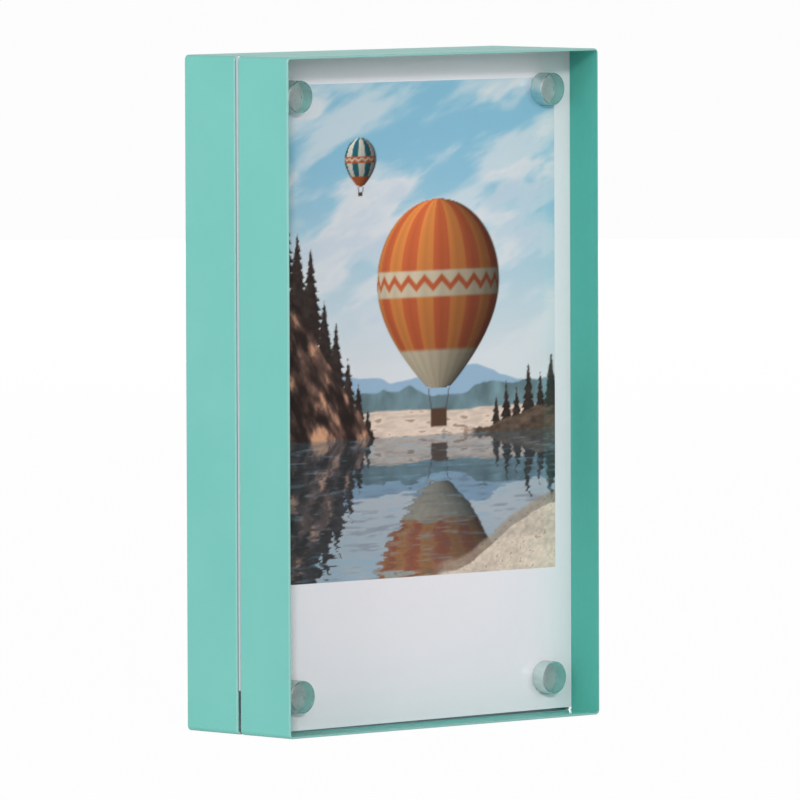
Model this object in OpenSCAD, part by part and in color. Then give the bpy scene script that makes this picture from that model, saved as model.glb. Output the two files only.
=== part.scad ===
// Magnetic photo block: two clear acrylic slabs with lacquered edges clamp a small picture card
// between four pairs of disc magnets. The rear half is lacquered on its back too, so that the card
// has an opaque backing. The picture faces -Y, +Z is up, and the origin lies on the foot, under the
// middle of the block.

/* [Frame] */
// Width over the lacquered sides
frame_w = 54; // [40:1:130]
// Height over the lacquered top and foot
frame_h = 86; // [60:1:180]
// Thickness of each acrylic slab
slab_t = 9.3; // [7:0.1:20]
// Thickness of the lacquer on the edges, and on the back of the rear half
lacquer_t = 0.25; // [0.1:0.05:0.4]
// Corner radius of the block seen from the front, over the lacquer
corner_r = 0.6; // [0.5:0.1:2.5]

/* [Magnets] */
// Diameter of a disc magnet
magnet_d = 4; // [3:0.5:8]
// Thickness of a disc magnet
magnet_t = 2; // [1:0.25:3]
// Bevel on both rims of a magnet
magnet_bevel = 0.15; // [0.05:0.05:0.4]
// Depth of a magnet under the slab's mating face
magnet_recess = 0.1; // [0.05:0.05:0.3]
// Film of adhesive around a magnet
glue_t = 0.08; // [0.05:0.01:0.15]
// Distance that the adhesive stops short of each magnet face
glue_setback = 0.25; // [0.1:0.05:0.45]
// Empty depth of a pocket behind its magnet
pocket_spare = 1.6; // [0.5:0.1:2.5]
// Chamfer around the end of a pocket
pocket_end_chamfer = 0.15; // [0.05:0.05:0.4]
// Acrylic and lacquer left between a pocket and the side of the block
pocket_side_margin = 3.05; // [2:0.05:8]
// Acrylic and lacquer left between an upper pocket and the top of the block
pocket_top_margin = 3.1; // [2:0.05:8]
// Acrylic and lacquer left between a lower pocket and the foot of the block
pocket_foot_margin = 2.8; // [2:0.05:8]
// Diameter of the mark that the drill's point leaves in a pocket's end
drill_mark_d = 0.5; // [0.2:0.1:1]
// Depth of that mark
drill_mark_depth = 0.2; // [0.1:0.05:0.5]

/* [Card] */
// Thickness of the picture card
card_t = 0.35; // [0.15:0.05:1]
// Free space between the card and the front slab
card_front_play = 0.05; // [0.02:0.01:0.2]
// Free space between the card and the rear slab
card_rear_play = 0.2; // [0.05:0.01:0.4]
// Distance of the card's side edges inside the block's sides
card_side_play = 0.1; // [0:0.05:1]
// Distance of the card's upper edge below the top of the block
card_top_play = 0.05; // [0:0.05:1]
// Height of the card's lower edge above the foot, at its left end
card_lift = 0.4; // [0.1:0.05:1]
// Extra height of the card's lower edge at its right end
card_slant = 0.3; // [0:0.05:1]
// Height of the cut at the card's lower left corner
corner_cut_h = 5.2; // [1:0.1:10]
// Width of that cut
corner_cut_w = 2; // [0.5:0.1:5]

/* [Hidden] */
$fn = 64;
// Chamfer on the lacquer's rims, as a share of its thickness
rim_chamfer_share = 0.8;
// Reach of a cut past the face that it opens
overrun = 1;

rim_chamfer = lacquer_t * rim_chamfer_share;
slab_w = frame_w - 2 * lacquer_t;
slab_r = corner_r - lacquer_t;
card_gap = card_front_play + card_t + card_rear_play;
frame_depth = 2 * slab_t + card_gap + lacquer_t;
front_mating_y = slab_t - frame_depth / 2;
rear_mating_y = front_mating_y + card_gap;
card_y = front_mating_y + card_front_play;
card_w = frame_w - 2 * card_side_play;

magnet_r = magnet_d / 2;
pocket_r = magnet_r + glue_t;
pocket_depth = magnet_recess + magnet_t + pocket_spare;
pocket_x = frame_w / 2 - pocket_side_margin - pocket_r;
pocket_low_z = pocket_foot_margin + pocket_r;
pocket_high_z = frame_h - pocket_top_margin - pocket_r;

LEFT = -1;
RIGHT = 1;

// Each half is drawn with its mating face at y = 0 and its body towards -Y
module in_front_half() {
    translate([0, front_mating_y, 0]) children();
}

module in_rear_half() {
    translate([0, rear_mating_y, 0]) mirror([0, 1, 0]) children();
}

// Stands an outline drawn in width and height upright, from the mating face back to y = -thickness
module upright(thickness) {
    rotate([90, 0, 0]) linear_extrude(height = thickness) children();
}

// Points a solid of revolution drawn along +Z into the slab, on a pocket's axis
module on_pocket_axis(side, height) {
    translate([side * pocket_x, 0, height]) rotate([90, 0, 0]) children();
}

module rounded_outline(width, low, high, radius) {
    union() {
        translate([-width / 2, low + radius]) square([width, high - low - 2 * radius]);
        translate([radius - width / 2, low]) square([width - 2 * radius, high - low]);
        for (x = [radius - width / 2, width / 2 - radius], z = [low + radius, high - radius])
            translate([x, z]) circle(r = radius);
    }
}

module slab_outline() {
    rounded_outline(slab_w, lacquer_t, frame_h - lacquer_t, slab_r);
}

// A rectangle from x = -width / 2 and y = -thickness to y = 0, with its four corners cut off
module chamfered_rectangle(width, thickness, cut) {
    side = width / 2;
    polygon([
        [cut - side, 0], [side - cut, 0], [side, -cut], [side, cut - thickness],
        [side - cut, -thickness], [cut - side, -thickness], [-side, cut - thickness], [-side, -cut]
    ]);
}

// The outside of one lacquered half, with the rims around both of its faces chamfered
module lacquered_body(thickness) {
    intersection() {
        upright(thickness) rounded_outline(frame_w, 0, frame_h, corner_r);
        linear_extrude(height = frame_h) chamfered_rectangle(frame_w, thickness, rim_chamfer);
        translate([-frame_w / 2, 0, frame_h / 2]) rotate([0, 90, 0])
            linear_extrude(height = frame_w) chamfered_rectangle(frame_h, thickness, rim_chamfer);
    }
}

// The front slab's lacquer is a ring: both faces of the slab stay clear
module edge_lacquer() {
    color("#80ccc2") difference() {
        lacquered_body(slab_t);
        translate([0, overrun, 0]) upright(slab_t + 2 * overrun) slab_outline();
    }
}

// The rear slab's lacquer is a tray: it also covers the face away from the card
module edge_and_back_lacquer() {
    color("#80ccc2") difference() {
        lacquered_body(slab_t + lacquer_t);
        translate([0, overrun, 0]) upright(slab_t + overrun) slab_outline();
    }
}

// A blind pocket, drilled from the mating face, with a chamfered end and the mark of the drill's
// point in the middle of it
module pocket(side, height) {
    on_pocket_axis(side, height) {
        translate([0, 0, -overrun])
            cylinder(h = pocket_depth - pocket_end_chamfer + overrun, r = pocket_r);
        translate([0, 0, pocket_depth - pocket_end_chamfer])
            cylinder(h = pocket_end_chamfer, r1 = pocket_r, r2 = pocket_r - pocket_end_chamfer);
        translate([0, 0, pocket_depth])
            cylinder(h = drill_mark_depth, r1 = drill_mark_d / 2, r2 = 0);
    }
}

module slab() {
    color([0.86, 0.93, 0.95, 0.4]) difference() {
        upright(slab_t) slab_outline();
        for (side = [LEFT, RIGHT], height = [pocket_low_z, pocket_high_z]) pocket(side, height);
    }
}

// A nickel-plated disc, turned from half of its section
module magnet(side, height) {
    color("silver") on_pocket_axis(side, height) translate([0, 0, magnet_recess])
        rotate_extrude() polygon([
            [0, 0], [magnet_r - magnet_bevel, 0], [magnet_r, magnet_bevel],
            [magnet_r, magnet_t - magnet_bevel], [magnet_r - magnet_bevel, magnet_t], [0, magnet_t]
        ]);
}

// The adhesive that holds a magnet, as a thin collar between its rims
module glue(side, height) {
    collar_h = magnet_t - 2 * glue_setback;
    color("ivory") on_pocket_axis(side, height) translate([0, 0, magnet_recess + glue_setback])
        rotate_extrude() translate([magnet_r, 0]) square([glue_t, collar_h]);
}

// The card, with its lower left corner cut away and its lower edge slightly out of square
module picture_card() {
    side = card_w / 2;
    color("whitesmoke") translate([0, card_y + card_t, 0]) upright(card_t) polygon([
        [corner_cut_w - side, card_lift], [side, card_lift + card_slant],
        [side, frame_h - card_top_play], [-side, frame_h - card_top_play],
        [-side, card_lift + corner_cut_h], [corner_cut_w - side, card_lift + corner_cut_h]
    ]);
}

in_rear_half() edge_and_back_lacquer();  // rear_lacquer
in_rear_half() slab();  // rear_slab
in_rear_half() magnet(LEFT, pocket_high_z);  // rear_magnet_top_left
in_rear_half() magnet(RIGHT, pocket_high_z);  // rear_magnet_top_right
in_rear_half() magnet(LEFT, pocket_low_z);  // rear_magnet_bottom_left
in_rear_half() magnet(RIGHT, pocket_low_z);  // rear_magnet_bottom_right
in_rear_half() glue(LEFT, pocket_high_z);  // rear_glue_top_left
in_rear_half() glue(RIGHT, pocket_high_z);  // rear_glue_top_right
in_rear_half() glue(LEFT, pocket_low_z);  // rear_glue_bottom_left
in_rear_half() glue(RIGHT, pocket_low_z);  // rear_glue_bottom_right
in_front_half() edge_lacquer();  // front_lacquer
in_front_half() slab();  // front_slab
in_front_half() magnet(LEFT, pocket_high_z);  // front_magnet_top_left
in_front_half() magnet(RIGHT, pocket_high_z);  // front_magnet_top_right
in_front_half() magnet(LEFT, pocket_low_z);  // front_magnet_bottom_left
in_front_half() magnet(RIGHT, pocket_low_z);  // front_magnet_bottom_right
in_front_half() glue(LEFT, pocket_high_z);  // front_glue_top_left
in_front_half() glue(RIGHT, pocket_high_z);  // front_glue_top_right
in_front_half() glue(LEFT, pocket_low_z);  // front_glue_bottom_left
in_front_half() glue(RIGHT, pocket_low_z);  // front_glue_bottom_right
picture_card();
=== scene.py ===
import math

import bmesh
import bpy
import numpy as np
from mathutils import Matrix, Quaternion, Vector


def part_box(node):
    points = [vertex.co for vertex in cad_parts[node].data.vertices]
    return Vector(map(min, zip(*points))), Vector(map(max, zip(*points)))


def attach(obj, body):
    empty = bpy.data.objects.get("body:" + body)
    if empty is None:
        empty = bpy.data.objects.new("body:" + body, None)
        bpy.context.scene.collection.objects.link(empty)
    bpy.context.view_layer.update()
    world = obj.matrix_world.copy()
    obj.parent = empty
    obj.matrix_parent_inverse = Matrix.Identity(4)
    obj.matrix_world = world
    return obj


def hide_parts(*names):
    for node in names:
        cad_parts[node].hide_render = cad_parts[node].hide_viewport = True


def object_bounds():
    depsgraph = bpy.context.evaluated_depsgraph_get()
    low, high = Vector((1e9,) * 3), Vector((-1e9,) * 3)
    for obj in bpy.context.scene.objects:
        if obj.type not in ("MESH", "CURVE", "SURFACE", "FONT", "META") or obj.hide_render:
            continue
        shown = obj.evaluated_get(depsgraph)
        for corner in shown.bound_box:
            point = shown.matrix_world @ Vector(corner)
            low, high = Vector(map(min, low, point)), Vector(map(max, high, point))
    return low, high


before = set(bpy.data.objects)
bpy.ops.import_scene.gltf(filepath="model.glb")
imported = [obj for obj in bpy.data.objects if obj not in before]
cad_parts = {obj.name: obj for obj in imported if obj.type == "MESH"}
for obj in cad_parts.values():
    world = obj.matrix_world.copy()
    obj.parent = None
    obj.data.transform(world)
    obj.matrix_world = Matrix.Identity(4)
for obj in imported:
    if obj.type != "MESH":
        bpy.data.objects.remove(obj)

cad_low, cad_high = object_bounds()

# Camera: a long lens on the block's left front, a little above its middle, so that the left edge,
# the top edge and the front show. It aims at a point on the front face, left of the centre.
view_turn = math.radians(42.61)
view_drop = math.radians(3.29)
view_roll = math.radians(0.2)
view_distance = 1.5217
lens_millimetres = 539.4
aim = Vector((-0.0079, cad_low.y, 0.0421))

forward = Vector((
    math.sin(view_turn) * math.cos(view_drop),
    math.cos(view_turn) * math.cos(view_drop),
    -math.sin(view_drop),
))
level = forward.to_track_quat("-Z", "Y")
camera = bpy.data.objects.new("camera", bpy.data.cameras.new("camera"))
camera.data.lens = lens_millimetres
camera.location = aim - view_distance * forward
camera.rotation_euler = (Quaternion(forward, view_roll) @ level).to_euler()
bpy.context.scene.collection.objects.link(camera)
bpy.context.scene.camera = camera

# Clear slabs: two blocks cut from cast acrylic sheet, their faces polished, each drilled from its
# mating face with four blind pockets for magnets. The lacquer touches the acrylic, so from inside
# it shows as flat colour with no reflection. Each half's number points along Y into that half.
HALVES = {"front": -1, "rear": 1}
CORNERS = [f"{level}_{side}" for level in ("top", "bottom") for side in ("left", "right")]
slab_corner = 0.00035
lacquer_seat = 0.00001
pocket_depth = 0.0037
pocket_end_chamfer = 0.00015
drill_mark_radius = 0.00025
drill_mark_depth = 0.0002
corner_steps = 6
round_steps = 72
sharp_angle = math.radians(35)
same_place = 1e-9
acrylic_tint = (0.98, 0.99, 0.99)
acrylic_index = 1.49
scratch_spread = 0.3
seated_roughness = 0.18
seated_index = 1.02
noise_low = 0.3
noise_high = 0.7


def link(name, mesh):
    """A new object in the scene"""
    piece = bpy.data.objects.new(name, mesh)
    bpy.context.scene.collection.objects.link(piece)
    return piece


def material(name):
    """A new material with its nodes, its links, and its one Principled shader"""
    made = bpy.data.materials.new(name)
    made.use_nodes = True
    nodes, links = made.node_tree.nodes, made.node_tree.links
    return made, nodes, links, nodes["Principled BSDF"]


def noise(nodes, links, scale, detail):
    """Noise on the piece's own metres, finer as scale grows"""
    place = nodes.new("ShaderNodeTexCoord")
    texture = nodes.new("ShaderNodeTexNoise")
    texture.inputs["Scale"].default_value = scale
    texture.inputs["Detail"].default_value = detail
    links.new(place.outputs["Object"], texture.inputs["Vector"])
    return texture.outputs["Fac"]


def ranged(nodes, links, source, low, high):
    """Spreads the usual reach of noise over low to high"""
    spread = nodes.new("ShaderNodeMapRange")
    spread.inputs["From Min"].default_value = noise_low
    spread.inputs["From Max"].default_value = noise_high
    spread.inputs["To Min"].default_value = low
    spread.inputs["To Max"].default_value = high
    links.new(source, spread.inputs["Value"])
    return spread.outputs["Result"]


def two_tones(nodes, links, source, first, second):
    """A colour that wanders between two near tones"""
    mix = nodes.new("ShaderNodeMix")
    mix.data_type = "RGBA"
    mix.inputs["A"].default_value = (*first, 1)
    mix.inputs["B"].default_value = (*second, 1)
    links.new(source, mix.inputs["Factor"])
    return mix.outputs["Result"]


def bumped(nodes, links, source, shader, height):
    """Gives a shader fine bumps of this height in metres"""
    bump = nodes.new("ShaderNodeBump")
    bump.inputs["Distance"].default_value = height
    links.new(source, bump.inputs["Height"])
    links.new(bump.outputs["Normal"], shader.inputs["Normal"])


def any_ray(nodes, links, *kinds):
    """1 for rays of any of these kinds, 0 for all others"""
    path = nodes.new("ShaderNodeLightPath")
    found = path.outputs[kinds[0]]
    for kind in kinds[1:]:
        either = nodes.new("ShaderNodeMath")
        either.operation = "MAXIMUM"
        links.new(found, either.inputs[0])
        links.new(path.outputs[kind], either.inputs[1])
        found = either.outputs["Value"]
    return found


def mixed(nodes, links, share, first, second):
    """The first shader where share is 0, the second where it is 1"""
    mix = nodes.new("ShaderNodeMixShader")
    links.new(share, mix.inputs["Fac"])
    links.new(first, mix.inputs[1])
    links.new(second, mix.inputs[2])
    return mix.outputs["Shader"]


def clear_acrylic(name, roughness, ripple_scale, ripple_height, light_kept, scratch_and_painted_bounce=None, scratched=0):
    """Clear acrylic. Lamps and soft light pass straight through it to what it covers. A share of it,
    scratched, scatters light in a given colour; a teal one is painted light from the mint coat."""
    made, nodes, links, shader = material(name)
    shader.inputs["Base Color"].default_value = (*acrylic_tint, 1)
    shader.inputs["Roughness"].default_value = roughness
    shader.inputs["IOR"].default_value = acrylic_index
    shader.inputs["Transmission Weight"].default_value = 1
    ripple = noise(nodes, links, ripple_scale, detail=2)
    bumped(nodes, links, ripple, shader, ripple_height)
    surface = shader.outputs["BSDF"]
    if scratch_and_painted_bounce:
        matt = nodes.new("ShaderNodeBsdfDiffuse")
        matt.inputs["Color"].default_value = (*scratch_and_painted_bounce, 1)
        fewest, most = (1 - scratch_spread) * scratched, (1 + scratch_spread) * scratched
        worn = ranged(nodes, links, ripple, fewest, most)
        surface = mixed(nodes, links, worn, surface, matt.outputs["BSDF"])
    through = nodes.new("ShaderNodeBsdfTransparent")
    through.inputs["Color"].default_value = (light_kept, light_kept, light_kept, 1)
    unbent = any_ray(nodes, links, "Is Shadow Ray", "Is Diffuse Ray")
    surface = mixed(nodes, links, unbent, surface, through.outputs["BSDF"])
    links.new(surface, nodes["Material Output"].inputs["Surface"])
    return made


def lacquer_from_inside(name, dark, light, painted_glow=0):
    """The mint coat as the acrylic shows it: deeper than outside, and without gloss. Where asked, it
    glows by a share of its own tone: a painted glow for light shining through a thin coat from behind."""
    made, nodes, links, shader = material(name)
    shader.inputs["Roughness"].default_value = seated_roughness
    shader.inputs["IOR"].default_value = seated_index
    tone = two_tones(nodes, links, noise(nodes, links, scale=900, detail=3), dark, light)
    links.new(tone, shader.inputs["Base Color"])
    links.new(tone, shader.inputs["Emission Color"])
    shader.inputs["Emission Strength"].default_value = painted_glow
    return made


def outline(low, high, radius, grow):
    """Corners of a rounded rectangle in X and Z, grown outwards by grow"""
    centres = [
        (high.x - radius, high.z - radius, 0.0),
        (low.x + radius, high.z - radius, 0.5 * math.pi),
        (low.x + radius, low.z + radius, math.pi),
        (high.x - radius, low.z + radius, 1.5 * math.pi),
    ]
    reach = radius + grow
    points = []
    for x, z, start in centres:
        for step in range(corner_steps + 1):
            angle = start + 0.5 * math.pi * step / corner_steps
            points.append((x + reach * math.cos(angle), z + reach * math.sin(angle)))
    return points


def circle(x, z, radius):
    """Corners of a circle in X and Z"""
    turns = [2 * math.pi * step / round_steps for step in range(round_steps)]
    return [(x + radius * math.cos(turn), z + radius * math.sin(turn)) for turn in turns]


def loop_at(bm, points, y):
    """A closed loop of edges at depth y"""
    verts = [bm.verts.new((x, y, z)) for x, z in points]
    for first, second in zip(verts, verts[1:] + verts[:1]):
        bm.edges.new((first, second))
    return verts


def skin(bm, first, second, slot=0):
    """Quads between two loops with equal numbers of points"""
    for i in range(len(first)):
        j = (i + 1) % len(first)
        face = bm.faces.new((first[i], first[j], second[j], second[i]))
        face.material_index = slot


def as_mesh(bm, name):
    """The built mesh, in the form that an object holds"""
    mesh = bpy.data.meshes.new(name)
    bm.to_mesh(mesh)
    bm.free()
    return mesh


def finished(bm, name):
    """Finishes a mesh: normals outwards, smooth where it is round, and sharp at its edges"""
    bmesh.ops.recalc_face_normals(bm, faces=bm.faces)
    for face in bm.faces:
        face.smooth = True
    for edge in bm.edges:
        edge.smooth = edge.is_manifold and edge.calc_face_angle() < sharp_angle
    return as_mesh(bm, name)


POLISHED, EDGE, POCKET_WALL, POCKET_END, PAINTED_LIGHT_FOOT, BACK = range(6)
slab_finishes = {
    POLISHED: clear_acrylic(
        "polished_acrylic", roughness=0, ripple_scale=60, ripple_height=0.000002, light_kept=0.98,
    ),
    EDGE: lacquer_from_inside(
        "lacquer_behind_acrylic", dark=(0.090, 0.420, 0.352), light=(0.104, 0.450, 0.378),
    ),
    # The drilled walls' scratch colour is painted teal: painted light for the mint coat's glow that the
    # frosted wall scatters
    POCKET_WALL: clear_acrylic(
        "drilled_acrylic", roughness=0.25, ripple_scale=4000, ripple_height=0.000004, light_kept=0.92,
        scratch_and_painted_bounce=(0.085, 0.345, 0.31), scratched=0.42,
    ),
    POCKET_END: clear_acrylic(
        "milled_acrylic", roughness=0.22, ripple_scale=4000, ripple_height=0.000004, light_kept=0.97,
        scratch_and_painted_bounce=(0.37, 0.46, 0.48), scratched=0.25,
    ),
    # The coat under the front slab, painted lighter than on the sides: painted light for what the strip
    # under the card catches
    PAINTED_LIGHT_FOOT: lacquer_from_inside(
        "lacquer_under_acrylic_painted_lighter", dark=(0.150, 0.530, 0.460), light=(0.170, 0.560, 0.490),
    ),
    # The coat on the rear half's back: pale, with a painted glow of a small share of its tone
    BACK: lacquer_from_inside(
        "lacquer_at_acrylic_back_painted_glow", dark=(0.70, 0.82, 0.88), light=(0.76, 0.87, 0.93), painted_glow=0.045,
    ),
}

for half, into in HALVES.items():
    low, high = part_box(f"{half}_slab")
    mating_y = high.y if half == "front" else low.y
    outer_y = low.y if half == "front" else high.y - lacquer_seat
    bm = bmesh.new()
    # The slab stays this little inside its lacquer, so that no two faces lie in one place
    sides = outline(low, high, slab_corner, -lacquer_seat)
    outer_loop = loop_at(bm, sides, outer_y)
    mating_loop = loop_at(bm, sides, mating_y)
    skin(bm, outer_loop, mating_loop, EDGE)
    # Under the front slab the coat is painted lighter, and under the rear slab it takes the back's pale
    # tone and painted glow
    for face in bm.faces:
        if all(v.co.z < low.z + 2 * lacquer_seat for v in face.verts):
            face.material_index = PAINTED_LIGHT_FOOT if half == "front" else BACK
    bm.faces.new(outer_loop).material_index = POLISHED if half == "front" else BACK
    for corner in CORNERS:
        film_low, film_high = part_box(f"{half}_glue_{corner}")
        x, z = 0.5 * (film_low.x + film_high.x), 0.5 * (film_low.z + film_high.z)
        radius = 0.5 * (film_high.x - film_low.x)
        end_y = mating_y + into * pocket_depth
        rim = loop_at(bm, circle(x, z, radius), mating_y)
        wall = loop_at(bm, circle(x, z, radius), end_y - into * pocket_end_chamfer)
        end = loop_at(bm, circle(x, z, radius - pocket_end_chamfer), end_y)
        mark = loop_at(bm, circle(x, z, drill_mark_radius), end_y)
        tip = bm.verts.new((x, end_y + into * drill_mark_depth, z))
        skin(bm, rim, wall, POCKET_WALL)
        skin(bm, wall, end, POCKET_END)
        skin(bm, end, mark, POCKET_END)
        for first, second in zip(mark, mark[1:] + mark[:1]):
            bm.faces.new((first, second, tip)).material_index = POCKET_END
    mating_edges = [
        edge for edge in bm.edges
        if len(edge.link_faces) == 1 and all(abs(v.co.y - mating_y) < same_place for v in edge.verts)
    ]
    bmesh.ops.triangle_fill(bm, use_beauty=True, use_dissolve=False, edges=mating_edges)
    slab = link(f"{half}_acrylic_slab", finished(bm, f"{half}_acrylic_slab"))
    for finish in slab_finishes.values():
        slab.data.materials.append(finish)
    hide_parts(f"{half}_slab")
    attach(slab, f"{half}_half")

# Lacquer: a sprayed mint coat a quarter of a millimetre thick, rounded over every rim and painted a
# little paler there as a painted highlight. The front half's covers the four edges as a ring, and
# the rear half's covers the back as well.
rim_radius = 0.0002
rim_steps = 6
lacquer_index = 1.5


def roughened(nodes, links, source, shader, smoothest, roughest):
    """Gives a shader a roughness that wanders with the noise"""
    links.new(ranged(nodes, links, source, smoothest, roughest), shader.inputs["Roughness"])


def sprayed_lacquer(name, dark, light):
    """Satin mint paint, faintly clouded, with the fine orange peel that a spray gun leaves"""
    made, nodes, links, shader = material(name)
    peel = noise(nodes, links, scale=2600, detail=4)
    tone = two_tones(nodes, links, noise(nodes, links, scale=90, detail=3), dark, light)
    links.new(tone, shader.inputs["Base Color"])
    roughened(nodes, links, peel, shader, smoothest=0.34, roughest=0.46)
    shader.inputs["IOR"].default_value = lacquer_index
    bumped(nodes, links, peel, shader, height=0.000004)
    return made


def quarter_round(outside, y, turn_y):
    """Profile points around a rim. They start at depth y, turn along turn_y, and end on the coat's
    side, which lies this far outside the slab."""
    points = []
    for step in range(rim_steps + 1):
        angle = 0.5 * math.pi * step / rim_steps
        offset = outside - rim_radius + rim_radius * math.sin(angle)
        points.append((offset, y + turn_y * rim_radius * (1 - math.cos(angle))))
    return points


COAT, MATING_RIM_HIGHLIGHT, OUTER_RIM_HIGHLIGHT = range(3)
coat_finishes = {
    COAT: sprayed_lacquer(
        "mint_lacquer", dark=(0.142, 0.488, 0.430), light=(0.184, 0.540, 0.482),
    ),
    # The rims' paler tones are painted highlights, where the rounded coat would catch the lamps
    MATING_RIM_HIGHLIGHT: sprayed_lacquer(
        "mint_lacquer_painted_highlight_over_rims", dark=(0.225, 0.485, 0.445), light=(0.265, 0.525, 0.485),
    ),
    OUTER_RIM_HIGHLIGHT: sprayed_lacquer(
        "mint_lacquer_painted_highlight_on_outer_rims", dark=(0.200, 0.465, 0.424), light=(0.232, 0.500, 0.460),
    ),
}
coat_bands = [COAT] + (rim_steps + 1) * [MATING_RIM_HIGHLIGHT] + [COAT] + rim_steps * [OUTER_RIM_HIGHLIGHT]

for half, into in HALVES.items():
    slab_low, slab_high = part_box(f"{half}_slab")
    coat_low, coat_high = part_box(f"{half}_lacquer")
    coat_thickness = coat_high.x - slab_high.x
    mating_y = coat_high.y if half == "front" else coat_low.y
    outer_y = coat_low.y if half == "front" else coat_high.y
    inner_end_y = slab_low.y if half == "front" else slab_high.y
    profile = [(0.0, inner_end_y), (0.0, mating_y)]
    profile += quarter_round(coat_thickness, mating_y, into)
    profile += reversed(quarter_round(coat_thickness, outer_y, -into))
    bm = bmesh.new()
    loops = [loop_at(bm, outline(slab_low, slab_high, slab_corner, offset), y) for offset, y in profile]
    for first, second, band in zip(loops, loops[1:], coat_bands):
        skin(bm, first, second, band)
    if half == "front":
        skin(bm, loops[-1], loops[0], MATING_RIM_HIGHLIGHT)
    else:
        bm.faces.new(loops[0])
        bm.faces.new(loops[-1])
    coat = link(f"{half}_mint_lacquer", finished(bm, f"{half}_mint_lacquer"))
    for finish in coat_finishes.values():
        coat.data.materials.append(finish)
    coat.modifiers.new("even_shading", "WEIGHTED_NORMAL").keep_sharp = True
    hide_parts(f"{half}_lacquer")
    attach(coat, f"{half}_half")

# Magnets: nickel-plated discs pressed into the pockets, four in each half, face to face across the
# card. Their plating is bright, with fine turning marks and a bevel on both rims.
nickel_dull = (0.57, 0.55, 0.54)
nickel_bright = (0.69, 0.67, 0.66)


def nickel_plating():
    """Metal, a little uneven in tone, roughened by the marks of turning"""
    made, nodes, links, shader = material("nickel_plating")
    marks = noise(nodes, links, scale=9000, detail=4)
    tone = two_tones(nodes, links, noise(nodes, links, scale=900, detail=3), nickel_dull, nickel_bright)
    links.new(tone, shader.inputs["Base Color"])
    shader.inputs["Metallic"].default_value = 1
    roughened(nodes, links, marks, shader, smoothest=0.28, roughest=0.42)
    bumped(nodes, links, marks, shader, height=0.000003)
    return made


plating = nickel_plating()
for half in HALVES:
    for corner in CORNERS:
        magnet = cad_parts[f"{half}_magnet_{corner}"]
        magnet.data.materials.clear()
        magnet.data.materials.append(plating)

# Adhesive: a thin film of cured glue around each magnet, between its rims, clear with a warm tint.
# It is drawn a few thousandths of a millimetre clear of the magnet and of the pocket's wall.
glue_slack = 0.000004
glue_dark = (0.54, 0.54, 0.48)
glue_light = (0.66, 0.66, 0.61)


def cured_adhesive():
    """Pale glue, smooth in some places and duller in others"""
    made, nodes, links, shader = material("cured_adhesive")
    cloud = noise(nodes, links, scale=2500, detail=3)
    links.new(two_tones(nodes, links, cloud, glue_dark, glue_light), shader.inputs["Base Color"])
    roughened(nodes, links, cloud, shader, smoothest=0.15, roughest=0.3)
    return made


def collar_nodes():
    """A tree that sweeps the film's thin section around a circle and turns the collar to face Y"""
    tree = bpy.data.node_groups.new("adhesive_collar", "GeometryNodeTree")
    named = {
        name: tree.interface.new_socket(name, in_out="INPUT", socket_type=f"NodeSocket{kind}").identifier
        for name, kind in (("Radius", "Float"), ("Wall", "Float"), ("Length", "Float"),
                           ("Centre", "Vector"), ("Material", "Material"))
    }
    tree.interface.new_socket("Geometry", in_out="OUTPUT", socket_type="NodeSocketGeometry")
    given = tree.nodes.new("NodeGroupInput")
    around = tree.nodes.new("GeometryNodeCurvePrimitiveCircle")
    around.inputs["Resolution"].default_value = round_steps
    section = tree.nodes.new("GeometryNodeCurvePrimitiveQuadrilateral")
    swept = tree.nodes.new("GeometryNodeCurveToMesh")
    laid = tree.nodes.new("GeometryNodeTransform")
    laid.inputs["Rotation"].default_value = (0.5 * math.pi, 0, 0)
    whole = tree.nodes.new("GeometryNodeRealizeInstances")
    dressed = tree.nodes.new("GeometryNodeSetMaterial")
    taken = tree.nodes.new("NodeGroupOutput")
    tree.links.new(given.outputs["Radius"], around.inputs["Radius"])
    tree.links.new(given.outputs["Wall"], section.inputs["Width"])
    tree.links.new(given.outputs["Length"], section.inputs["Height"])
    tree.links.new(around.outputs["Curve"], swept.inputs["Curve"])
    tree.links.new(section.outputs["Curve"], swept.inputs["Profile Curve"])
    tree.links.new(swept.outputs["Mesh"], laid.inputs["Geometry"])
    tree.links.new(given.outputs["Centre"], laid.inputs["Translation"])
    tree.links.new(laid.outputs["Geometry"], whole.inputs["Geometry"])
    tree.links.new(whole.outputs["Geometry"], dressed.inputs["Geometry"])
    tree.links.new(given.outputs["Material"], dressed.inputs["Material"])
    tree.links.new(dressed.outputs["Geometry"], taken.inputs["Geometry"])
    return tree, named


def swept_collar(name, **sizes):
    """The tree's result as a plain mesh on an object of its own"""
    piece = link(name, bpy.data.meshes.new(name))
    collar = piece.modifiers.new("collar", "NODES")
    collar.node_group = collar_tree
    for socket, value in sizes.items():
        collar[collar_sockets[socket]] = value
    evaluated = piece.evaluated_get(bpy.context.evaluated_depsgraph_get())
    bm = bmesh.new()
    bm.from_mesh(bpy.data.meshes.new_from_object(evaluated))
    piece.modifiers.remove(collar)
    piece.data = finished(bm, name)
    piece.data.materials.append(sizes["Material"])
    return piece


adhesive = cured_adhesive()
collar_tree, collar_sockets = collar_nodes()
for half in HALVES:
    for corner in CORNERS:
        low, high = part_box(f"{half}_glue_{corner}")
        magnet_low, magnet_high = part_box(f"{half}_magnet_{corner}")
        outside = 0.5 * (high.x - low.x) - glue_slack
        inside = 0.5 * (magnet_high.x - magnet_low.x) + glue_slack
        film = swept_collar(
            f"{half}_adhesive_{corner}",
            Radius=0.5 * (outside + inside),
            Wall=outside - inside,
            Length=high.y - low.y,
            Centre=0.5 * (low + high),
            Material=adhesive,
        )
        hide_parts(f"{half}_glue_{corner}")
        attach(film, f"{half}_half")

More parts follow.
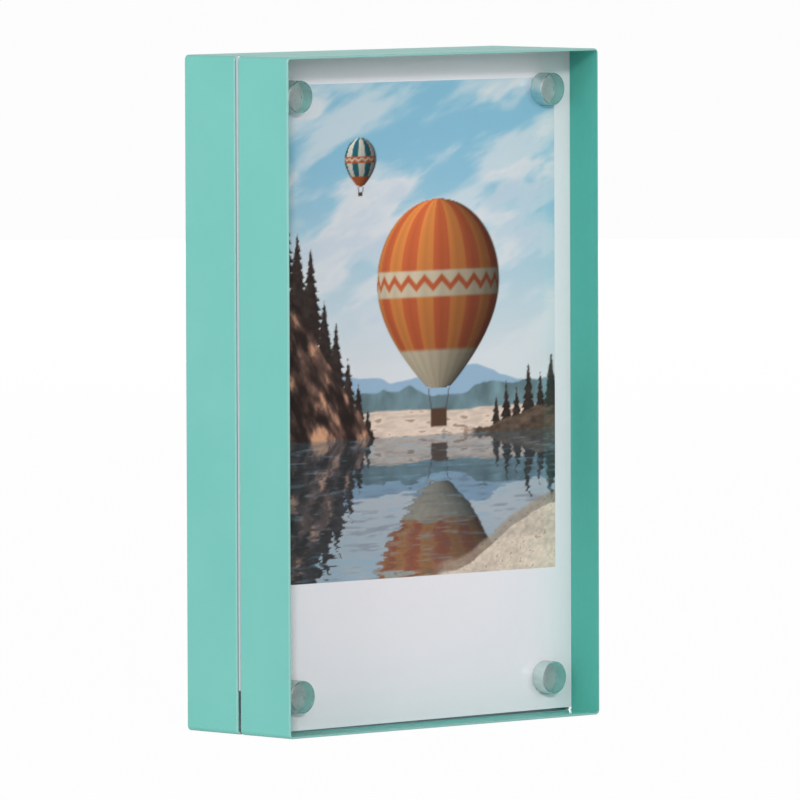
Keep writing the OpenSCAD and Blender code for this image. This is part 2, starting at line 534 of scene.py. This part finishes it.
# Picture card: a stiff white card the size of a mini instant print, about a third of a millimetre
# thick, with a smooth coated face. It lies loose between the halves until the magnets grip it.
coating_dark = (0.858, 0.818, 0.86)
coating_light = (0.908, 0.868, 0.91)
# Cut edges: the card's greyer core, darkened with painted shade for the narrow gap it sits in
core_and_shade_dark = (0.43, 0.48, 0.51)
core_and_shade_light = (0.53, 0.58, 0.62)
paper_gloss = 0.2


def coated_card():
    """White coating on both faces, and grey where the card was cut: its core, darkened with painted shade
    of the gap
    """
    made, nodes, links, shader = material("coated_card")
    fibre = noise(nodes, links, scale=1800, detail=5)
    coating = two_tones(nodes, links, fibre, coating_dark, coating_light)
    core_and_shade = two_tones(nodes, links, fibre, core_and_shade_dark, core_and_shade_light)
    place = nodes.new("ShaderNodeTexCoord")
    facing = nodes.new("ShaderNodeSeparateXYZ")
    flat = nodes.new("ShaderNodeMath")
    flat.operation = "ABSOLUTE"
    mix = nodes.new("ShaderNodeMix")
    mix.data_type = "RGBA"
    links.new(place.outputs["Normal"], facing.inputs["Vector"])
    links.new(facing.outputs["Y"], flat.inputs[0])
    links.new(flat.outputs["Value"], mix.inputs["Factor"])
    links.new(core_and_shade, mix.inputs["A"])
    links.new(coating, mix.inputs["B"])
    links.new(mix.outputs["Result"], shader.inputs["Base Color"])
    roughened(nodes, links, fibre, shader, smoothest=0.42, roughest=0.55)
    shader.inputs["Specular IOR Level"].default_value = paper_gloss
    bumped(nodes, links, fibre, shader, height=0.000003)
    return made


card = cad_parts["picture_card"]
card.data.materials.clear()
card.data.materials.append(coated_card())

# Printed picture: ink on the card's front, up to a bare white border and a deeper one at the foot.
# It shows a generic lake, with a crag, low hills and two balloons, painted by the formulas below.
# In them x runs across and z up, in millimetres from the picture's lower left corner.
MILLIMETRE = 0.001
print_width = 48.0
print_height = 63.3
print_foot = 19.0
ink_thickness = 0.000015
columns = 256
rows = 376
edge_softness = 0.13
lattice_size = 97
darkest_ink = 0.03
screen_gamma = 2.2

# The picture's colours, as they look on a screen
horizon_white = (0.90, 0.89, 0.90)
sky_blue = (0.55, 0.755, 0.855)
cloud_white = (0.88, 0.89, 0.91)
cloud_shade = (0.74, 0.80, 0.88)
far_hill_blue = (0.60, 0.71, 0.81)
near_hill_green = (0.43, 0.52, 0.55)
beach_sand = (0.95, 0.85, 0.78)
beach_stones = (0.50, 0.39, 0.33)
spruce_dark = (0.235, 0.185, 0.17)
rock_shade = (0.31, 0.23, 0.205)
rock_sunlit = (0.90, 0.66, 0.50)
spit_earth = (0.36, 0.29, 0.25)
basket_brown = (0.34, 0.24, 0.19)
rope_grey = (0.30, 0.26, 0.26)
water_tint = (0.80, 0.79, 0.80)
wave_crest = (0.52, 0.68, 0.78)
wave_trough = (0.30, 0.34, 0.38)
shore_sand = (0.95, 0.86, 0.79)
shore_pebbles = (0.50, 0.41, 0.36)
wet_tint = (0.74, 0.72, 0.70)

# Places in the picture, measured up or across it
water_level = 18.0
horizon = 20.0
sky_height = 43.5
crag_foot = 18.2
crag_roots = 16.6
crag_reach = 17.5
crag_height = 22.0
spit_foot = 18.4
spit_roots = 18.9
bough_height = 1.15

# Each spruce has its trunk's place across, its height, its spread to each side and its seed
CRAG_SPRUCES = (
    (0.6, 13.5, 3.0, 201), (3.3, 11.0, 2.5, 211), (5.6, 12.5, 2.7, 221), (7.9, 9.0, 2.1, 231),
    (9.9, 8.6, 1.9, 241), (11.9, 6.4, 1.6, 251), (13.7, 5.2, 1.3, 261), (15.3, 3.6, 1.0, 271),
)
SPIT_SPRUCES = (
    (37.6, 3.84, 0.9, 301), (39.4, 5.52, 1.2, 311), (41.2, 4.80, 1.1, 321),
    (43.3, 7.68, 1.6, 331), (45.4, 6.48, 1.4, 341), (47.3, 9.12, 1.9, 351),
)
SMALL_BALLOON = {
    "middle": 14.2, "centre": 53.6, "radius": 2.7, "gores": 7,
    "first": (0.16, 0.42, 0.48), "second": (0.93, 0.90, 0.84), "band": (0.85, 0.42, 0.20),
}
LARGE_BALLOON = {
    "middle": 27.6, "centre": 37.6, "radius": 10.6, "gores": 11,
    "first": (0.93, 0.56, 0.29), "second": (0.87, 0.42, 0.25), "band": (0.93, 0.85, 0.73),
}


def eased(t):
    """Starts and ends level between 0 and 1"""
    return t * t * (3 - 2 * t)


def ramp(value, start, end):
    """0 before start, 1 after end, smooth between"""
    return eased(np.clip((value - start) / (end - start), 0, 1))


def soft_edge(depth):
    """1 inside a shape and 0 outside it, from the depth inside its edge"""
    return ramp(depth, -edge_softness, edge_softness)


def lattice_noise(across, up, seed):
    """Smooth noise from 0 to 1 between random values one unit apart"""
    values = np.random.default_rng(seed).random((lattice_size, lattice_size))
    column, row = np.floor(across).astype(int), np.floor(up).astype(int)
    s, t = eased(across - column), eased(up - row)
    left, right = column % lattice_size, (column + 1) % lattice_size
    low, high = row % lattice_size, (row + 1) % lattice_size
    lower = values[low, left] * (1 - s) + values[low, right] * s
    upper = values[high, left] * (1 - s) + values[high, right] * s
    return lower * (1 - t) + upper * t


def cloudiness(across, up, octaves, seed):
    """Layers of noise, each half as large and half as strong as the last"""
    total, weight = 0, 0
    for octave in range(octaves):
        strength = 0.5 ** octave
        total = total + strength * lattice_noise(across * 2 ** octave, up * 2 ** octave, seed + octave)
        weight += strength
    return total / weight


def rough_line(x, size, octaves, seed, up=0):
    """How far a wavering line is above or below its mean, from -0.5 to 0.5, read from noise at up"""
    return cloudiness(x / size, np.zeros_like(x) + up, octaves, seed) - 0.5


def flat_colour(x, colour):
    """One colour over the whole picture"""
    return np.zeros(x.shape + (3,)) + np.asarray(colour)


def over(below, colour, cover):
    """Lays a colour over the picture where cover is 1"""
    return below + (np.asarray(colour) - below) * np.clip(cover, 0, 1)[..., None]


def shaded(colour, light):
    """A colour made lighter and darker from place to place"""
    return np.asarray(colour) * np.asarray(light)[..., None]


def sky(x, z):
    """Blue over a white horizon, with streaked clouds that climb to the right"""
    height = (z - horizon) / sky_height
    colour = over(flat_colour(x, horizon_white), sky_blue, ramp(height, 0.0, 0.85))
    along, across = 0.94 * x + 0.34 * z, 0.94 * z - 0.34 * x
    veil = cloudiness(along / 15, across / 4.2, octaves=6, seed=11)
    heap = cloudiness(along / 9 + 5, across / 3.4 + 9, octaves=6, seed=31)
    cover = 0.95 * ramp(veil, 0.42, 0.62) + 0.75 * ramp(heap, 0.50, 0.72)
    colour = over(colour, cloud_white, cover * (0.95 - 0.2 * height))
    return over(colour, cloud_shade, 0.45 * ramp(heap, 0.60, 0.80))


def hills(colour, x, z):
    """Blue hills far off, greener ones before them, and the beach on the far side of the lake"""
    far = 27.0 + 7.0 * rough_line(x, size=17, octaves=5, seed=51, up=18.87) - 0.06 * x
    colour = over(colour, far_hill_blue, soft_edge(far - z))
    near = 23.4 + 5.0 * rough_line(x, size=9, octaves=5, seed=61, up=22.57)
    near = near + 0.06 * (x - 0.5 * print_width)
    fold = cloudiness(x / 2.1, z / 3.0, octaves=4, seed=57)
    colour = over(colour, shaded(near_hill_green, 0.75 + 0.5 * fold), soft_edge(near - z))
    beach = 21.2 + 0.9 * rough_line(x, size=6, octaves=5, seed=71, up=26.27)
    strewn = cloudiness(x / 1.9, z / 0.5, octaves=3, seed=73)
    sand = shaded(beach_sand, 0.80 + 0.30 * strewn)
    sand = over(sand, beach_stones, 0.7 * ramp(strewn, 0.60, 0.80))
    return over(colour, sand, soft_edge(beach - z))


def spruce(colour, x, z, trunk, foot, height, spread, seed):
    """A spruce: boughs in tiers that widen downwards, with ragged tips"""
    top = foot + height
    down = np.clip((top - z) / height, 0, 1)
    tier = (down * height / bough_height) % 1
    ragged = 0.30 * (lattice_noise(x / 0.35, z / 0.30, seed) - 0.5)
    reach = spread * down * (0.62 + 0.38 * tier) + ragged
    inside = soft_edge(reach - np.abs(x - trunk)) * (z > foot) * (z < top)
    lit = 0.75 + 0.25 * (trunk - x) / spread
    light = 0.55 + 0.9 * cloudiness(x / 0.7, z / 0.5, octaves=3, seed=seed + 5) * lit
    return over(colour, shaded(spruce_dark, light), inside)


def crag_slope(x):
    """The crag's height over its foot, from the picture's left edge down to nothing"""
    return crag_height * np.clip(1 - x / crag_reach, 0, 1) ** 1.25


def headland(colour, x, z):
    """A wooded crag on the left, falling to the water"""
    for trunk, height, spread, seed in CRAG_SPRUCES:
        colour = spruce(colour, x, z, trunk, crag_roots + crag_slope(trunk), height, spread, seed)
    crest = crag_foot + crag_slope(x) + 2.2 * rough_line(x, size=2.3, octaves=5, seed=81)
    crack = cloudiness(x / 1.3 + 0.35 * z, z / 2.6, octaves=6, seed=91)
    face = cloudiness(x / 4.5, z / 5.0 - x / 6, octaves=4, seed=97)
    rock = shaded(rock_shade, 0.50 + 1.15 * ramp(crack, 0.30, 0.74) * (0.5 + face))
    rock = over(rock, rock_sunlit, 0.85 * ramp(crack, 0.54, 0.72) * ramp(face, 0.36, 0.58))
    return over(colour, rock, soft_edge(crest - z) * ramp(crag_reach + 0.1 - x, 0, 0.4))


def spit(colour, x, z):
    """A low wooded spit on the far right"""
    for trunk, height, spread, seed in SPIT_SPRUCES:
        colour = spruce(colour, x, z, trunk, spit_roots, height, spread, seed)
    crest = spit_foot + 2.6 * ramp(x, 33, 47) + 0.8 * rough_line(x, size=1.2, octaves=4, seed=101)
    tone = 0.6 + 0.8 * cloudiness(x / 0.9, z / 0.5, octaves=4, seed=109)
    return over(colour, shaded(spit_earth, tone), soft_edge(crest - z) * ramp(x, 32.5, 34.5))


def balloon(colour, x, z, middle, centre, radius, gores, first, second, band):
    """A hot-air balloon: round above, drawn in to its mouth below, with gores in two colours and a
    zigzag on a pale band, and a basket on ropes"""
    drop = 1.28 * radius
    mouth = 0.17 * radius
    mouth_z = centre - drop
    above = np.sqrt(np.clip(radius ** 2 - (z - centre) ** 2, 0, None))
    fall = np.clip((centre - z) / drop, 0, 1)
    below = mouth + (radius - mouth) * np.cos(0.5 * np.pi * fall) ** 0.9
    reach = np.where(z >= centre, above, below) * soft_edge(z - mouth_z)

    turn = np.arcsin(np.clip((x - middle) / np.maximum(reach, 0.01), -1, 1))
    phase = (turn / np.pi + 0.5) * gores + 0.3
    level = (z - centre) / radius
    zigzag = 0.10 * np.abs((phase % 1) * 2 - 1)
    cloth = over(flat_colour(x, first), second, ramp(np.abs((phase % 2) - 1), 0.45, 0.55))
    cloth = over(cloth, band, ramp(0.16 - np.abs(level + 0.02), -0.02, 0.02))
    cloth = over(cloth, second, ramp(0.045 - np.abs(level + 0.07 - 1.2 * zigzag), -0.02, 0.02))
    cloth = over(cloth, band, ramp(-0.82 - level, -0.03, 0.03))
    crease = 0.93 + 0.07 * np.abs(np.sin(np.pi * phase))
    light = (0.60 + 0.46 * np.cos(turn + 0.75)) * crease * (0.86 + 0.16 * level)
    inside = soft_edge(reach - np.abs(x - middle)) * ramp(reach, 0, edge_softness)
    colour = over(colour, cloth * np.clip(light, 0.25, 1.06)[..., None], inside)

    rope_length = 0.26 * radius
    basket_top = mouth_z - rope_length
    aside = np.abs(x - middle)
    from_basket = np.maximum(
        aside / (0.13 * radius), np.abs(z - basket_top + 0.1 * radius) / (0.11 * radius),
    )
    colour = over(colour, basket_brown, ramp(1 - from_basket, -0.1, 0.1))
    from_rope = np.abs(aside - 0.12 * radius - 0.05 * radius * (z - basket_top) / rope_length)
    hung = (z > basket_top) & (z < mouth_z)
    return over(colour, rope_grey, 0.7 * ramp(0.09 - from_rope, -0.05, 0.05) * hung)


def scenery(x, z):
    """All that stands above the water"""
    colour = hills(sky(x, z), x, z)
    colour = balloon(colour, x, z, **SMALL_BALLOON)
    colour = headland(colour, x, z)
    colour = spit(colour, x, z)
    return balloon(colour, x, z, **LARGE_BALLOON)


def picture(x, z):
    """The scenery, its broken reflection in the lake, and a sandy shore at the lower right"""
    depth = np.clip(water_level - z, 0, None)
    wave = cloudiness(x / 3.2 + 7, z / 0.34, octaves=4, seed=401) - 0.5
    swell = cloudiness(x / 7.0, z / 1.3, octaves=3, seed=411) - 0.5
    reach = 0.10 + 0.10 * depth
    mirrored = scenery(x + reach * (1.7 * wave + swell), 2 * water_level - z + reach * 2.4 * wave)
    water = over(mirrored * water_tint, wave_crest, 0.16 + 0.30 * ramp(wave, 0.04, 0.30))
    water = over(water, wave_trough, 0.30 * ramp(-wave, 0.06, 0.30))
    colour = over(scenery(x, z), water, ramp(water_level - z, -0.08, 0.08))

    shore = 8.8 * ramp(x, 27, 50) + 0.9 * rough_line(x, size=4.0, octaves=4, seed=421, up=3)
    pebble = cloudiness(x / 0.55, z / 0.40, octaves=4, seed=431)
    dune = cloudiness(x / 5.0, z / 1.6, octaves=4, seed=441)
    sand = shaded(shore_sand, 0.80 + 0.25 * dune + 0.30 * (pebble - 0.5))
    sand = over(sand, shore_pebbles, 0.6 * ramp(pebble, 0.66, 0.80))
    right = ramp(x, 26, 29)
    colour = over(colour, sand * wet_tint, 0.8 * ramp(shore + 1.3 - z, -0.5, 0.3) * right)
    colour = over(colour, sand, ramp(shore - z, -0.12, 0.12) * right)
    return np.clip(colour, darkest_ink, 1)


def printing_ink():
    """The picture's colours, with the fine grain of the print"""
    made, nodes, links, shader = material("printing_ink")
    painted = nodes.new("ShaderNodeVertexColor")
    painted.layer_name = "ink"
    grain = noise(nodes, links, scale=5200, detail=2)
    speckle = nodes.new("ShaderNodeMix")
    speckle.data_type = "RGBA"
    speckle.blend_type = "MULTIPLY"
    speckle.inputs["Factor"].default_value = 1
    dots = two_tones(nodes, links, grain, (0.90, 0.90, 0.90), (1.08, 1.08, 1.08))
    links.new(painted.outputs["Color"], speckle.inputs["A"])
    links.new(dots, speckle.inputs["B"])
    links.new(speckle.outputs["Result"], shader.inputs["Base Color"])
    roughened(nodes, links, grain, shader, smoothest=0.38, roughest=0.48)
    shader.inputs["Specular IOR Level"].default_value = paper_gloss
    return made


across, up = np.meshgrid(np.linspace(0, print_width, columns + 1), np.linspace(0, print_height, rows + 1))
card_low, card_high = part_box("picture_card")
ink_x = 0.5 * (card_low.x + card_high.x) + MILLIMETRE * (across - 0.5 * print_width)
ink_y = np.full_like(ink_x, card_low.y - ink_thickness)
ink_z = MILLIMETRE * (print_foot + up)

# The ink's film: a grid of quads in front, a narrow side around it, and a fan of triangles behind
front = np.stack([ink_x, ink_y, ink_z], axis=-1).reshape(-1, 3)
grid = np.arange(len(front)).reshape(rows + 1, columns + 1)
quads = np.stack([grid[:-1, :-1], grid[:-1, 1:], grid[1:, 1:], grid[1:, :-1]], axis=-1).reshape(-1, 4)
rim = np.concatenate([grid[0, :-1], grid[:-1, -1], grid[-1, :0:-1], grid[:0:-1, 0]])
back = front[rim] + (0, ink_thickness, 0)
back_rim = len(front) + np.arange(len(rim))
centre = back.mean(axis=0, keepdims=True)
centre_number = np.full_like(back_rim, len(front) + len(rim))
sides = np.stack([rim, back_rim, np.roll(back_rim, -1), np.roll(rim, -1)], axis=-1)
fan = np.stack([back_rim, centre_number, np.roll(back_rim, -1)], axis=-1)
film_points = np.concatenate([front, back, centre]).tolist()
film_mesh = bpy.data.meshes.new("printed_picture")
film_mesh.from_pydata(film_points, [], quads.tolist() + sides.tolist() + fan.tolist())

film_colours = np.ones((len(film_points), 4))
film_colours[:len(front), :3] = picture(across, up).reshape(-1, 3) ** screen_gamma
ink = film_mesh.color_attributes.new("ink", "FLOAT_COLOR", "POINT")
ink.data.foreach_set("color", film_colours.ravel())

printed = link("printed_picture", film_mesh)
printed.data.materials.append(printing_ink())
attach(printed, "print")

# Floor: a pale sheet that runs far behind the block, so that nothing but white shows around it.
# It shows as white to the eye and in metal and glass, and it keeps the block's shadow.
floor_reach = 15.0
floor_grey = 0.86
floor_roughness = 0.9
floor_white_share = 0.97
SEEN_RAYS = ("Is Camera Ray", "Is Glossy Ray", "Is Transmission Ray")


def floor_paper():
    """Matt grey paper, and nearly white where it is seen"""
    made, nodes, links, shader = material("floor_paper")
    shader.inputs["Base Color"].default_value = (floor_grey, floor_grey, floor_grey, 1)
    shader.inputs["Roughness"].default_value = floor_roughness
    shader.inputs["Specular IOR Level"].default_value = 0
    white = nodes.new("ShaderNodeEmission")
    share = nodes.new("ShaderNodeMath")
    share.operation = "MULTIPLY"
    share.inputs[1].default_value = floor_white_share
    links.new(any_ray(nodes, links, *SEEN_RAYS), share.inputs[0])
    surface = mixed(
        nodes, links, share.outputs["Value"], shader.outputs["BSDF"], white.outputs["Emission"],
    )
    links.new(surface, nodes["Material Output"].inputs["Surface"])
    return made


bm = bmesh.new()
for x, y in ((-1, -1), (1, -1), (1, 1), (-1, 1)):
    bm.verts.new((x * floor_reach, y * floor_reach, cad_low.z))
bm.faces.new(bm.verts)
floor = link("floor", as_mesh(bm, "floor"))
floor.data.materials.append(floor_paper())

# Flag: dark cloth laid on the floor in a fan before the block and turned up at its far edge, seen
# only in reflections. It keeps the white studio out of the front face, so the picture's darks stay.
flag_reach = 3.6
flag_height = 0.6
flag_half_turn = math.radians(75)
flag_steps = 30
flag_lift = 0.0003
flag_dark = (0.03, 0.03, 0.03)
flag_light = (0.05, 0.05, 0.05)


def flag_cloth():
    """Nearly black cloth that only rays turned by a mirror meet; all others pass through it"""
    made, nodes, links, shader = material("flag_cloth")
    tone = two_tones(nodes, links, noise(nodes, links, scale=400, detail=2), flag_dark, flag_light)
    links.new(tone, shader.inputs["Base Color"])
    shader.inputs["Roughness"].default_value = 1
    shader.inputs["Specular IOR Level"].default_value = 0
    path = nodes.new("ShaderNodeLightPath")
    mirrored = nodes.new("ShaderNodeMath")
    mirrored.operation = "MINIMUM"
    mirrored.inputs[1].default_value = 1
    unseen = nodes.new("ShaderNodeBsdfTransparent")
    links.new(path.outputs["Glossy Depth"], mirrored.inputs[0])
    surface = mixed(
        nodes, links, mirrored.outputs["Value"], unseen.outputs["BSDF"], shader.outputs["BSDF"],
    )
    links.new(surface, nodes["Material Output"].inputs["Surface"])
    return made


near_left = Vector((cad_low.x, cad_low.y - flag_lift, cad_low.z + flag_lift))
near_right = Vector((cad_high.x, cad_low.y - flag_lift, cad_low.z + flag_lift))
bm = bmesh.new()
folds = []
for step in range(flag_steps + 1):
    share = step / flag_steps
    turn = flag_half_turn * (2 * share - 1)
    near = near_left.lerp(near_right, share)
    far = near + flag_reach * Vector((math.sin(turn), -math.cos(turn), 0))
    top = far + Vector((0, 0, flag_height))
    folds.append([bm.verts.new(point) for point in (near, far, top)])
for first, second in zip(folds, folds[1:]):
    for i in (0, 1):
        bm.faces.new((first[i], first[i + 1], second[i + 1], second[i]))
flag = link("flag", as_mesh(bm, "flag"))
flag.visible_camera = False
flag.visible_diffuse = False
flag.visible_shadow = False
flag.data.materials.append(flag_cloth())

# Light: soft white surroundings and four lamps. The key, at the left front and a little above,
# lets the top edge throw its shadow on the card. Panels at the left and behind light the lacquered
# edges and the back, and a low one in front lights the card through the slab.
surround_tint = (0.97, 0.99, 1.0)
surround_strength = 0.375


def white_surroundings():
    """Plain white where it is seen, and a softer light on everything else"""
    world = bpy.data.worlds.new("surroundings")
    world.use_nodes = True
    nodes, links = world.node_tree.nodes, world.node_tree.links
    glow = nodes["Background"]
    glow.inputs["Color"].default_value = (*surround_tint, 1)
    glow.inputs["Strength"].default_value = surround_strength
    backdrop = nodes.new("ShaderNodeBackground")
    backdrop.inputs["Color"].default_value = (1, 1, 1, 1)
    backdrop.inputs["Strength"].default_value = 1
    seen = any_ray(nodes, links, *SEEN_RAYS)
    surface = mixed(
        nodes, links, seen, glow.outputs["Background"], backdrop.outputs["Background"],
    )
    links.new(surface, nodes["World Output"].inputs["Surface"])
    return world


def lamp(name, from_left, above, distance, width, height, watts, mirrored=True):
    """A soft panel aimed at the block's middle, placed by two angles in degrees from its front.
    Glossy surfaces show it only if it is mirrored."""
    turn, rise = math.radians(from_left), math.radians(above)
    away = Vector((-math.sin(turn) * math.cos(rise), -math.cos(turn) * math.cos(rise), math.sin(rise)))
    middle = 0.5 * (cad_low + cad_high)
    panel = bpy.data.lights.new(name, "AREA")
    panel.shape = "RECTANGLE"
    panel.size = width
    panel.size_y = height
    panel.energy = watts
    made = link(name, panel)
    made.location = middle + distance * away
    made.rotation_euler = (-away).to_track_quat("-Z", "Y").to_euler()
    made.visible_glossy = mirrored


bpy.context.scene.world = white_surroundings()
lamp("key", from_left=30, above=16.6, distance=1.6, width=0.2, height=0.12, watts=9.6)
lamp("left_panel", from_left=80, above=14, distance=1.2, width=0.8, height=0.8, watts=6.9, mirrored=False)
lamp("rear_panel", from_left=225, above=4, distance=1.4, width=1.2, height=0.24, watts=13, mirrored=False)
lamp("front_fill", from_left=-8, above=11, distance=1.5, width=1.2, height=0.28, watts=4.1)
bpy.context.scene.view_settings.view_transform = "Standard"
